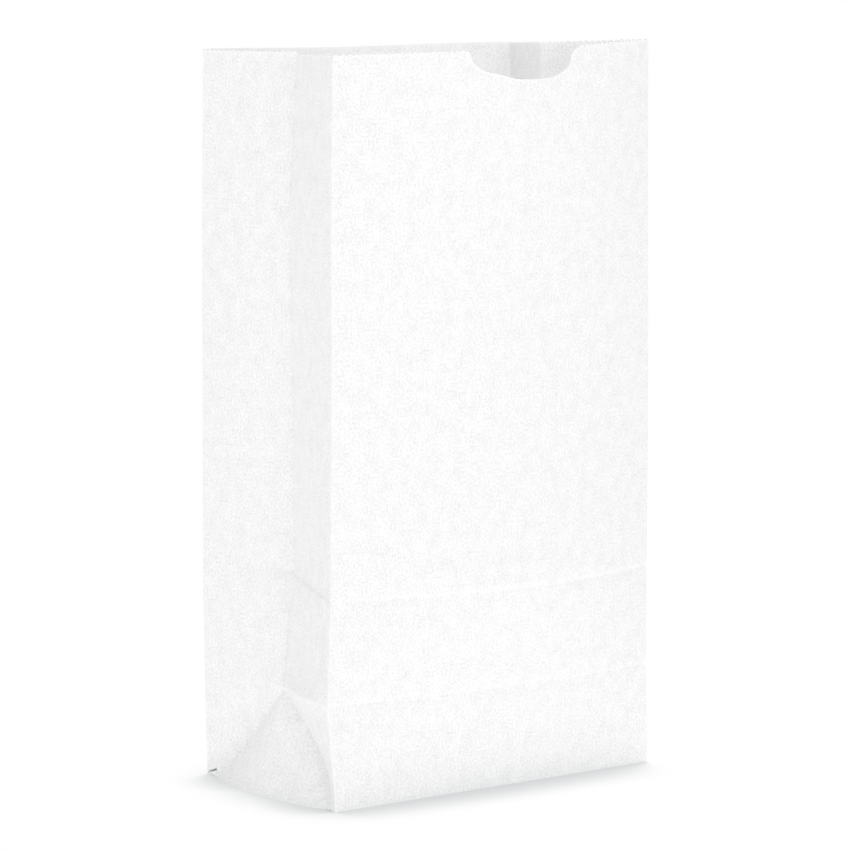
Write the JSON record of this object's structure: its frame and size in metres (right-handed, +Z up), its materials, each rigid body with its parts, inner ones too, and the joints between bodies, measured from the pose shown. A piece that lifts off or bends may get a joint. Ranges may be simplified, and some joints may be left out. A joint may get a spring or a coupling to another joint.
{
  "type": "paper grocery bag",
  "caption": "Small white paper bag standing open, with gusseted sides, a flat folded base, a saw-cut mouth and a thumb notch.",
  "frame": {"origin": "centre of the folded base, on the surface that the bag stands on", "axes": "+Z up towards the open mouth, +X across the wide panels, -Y out of the front panel with the thumb notch"},
  "size_m": [0.1156, 0.0844, 0.2015],
  "materials": {
    "white_paper": "matt, uncoated, slightly mottled"
  },
  "bodies": {
    "root": {"bag": "white_paper"}
  },
  "joints": []
}
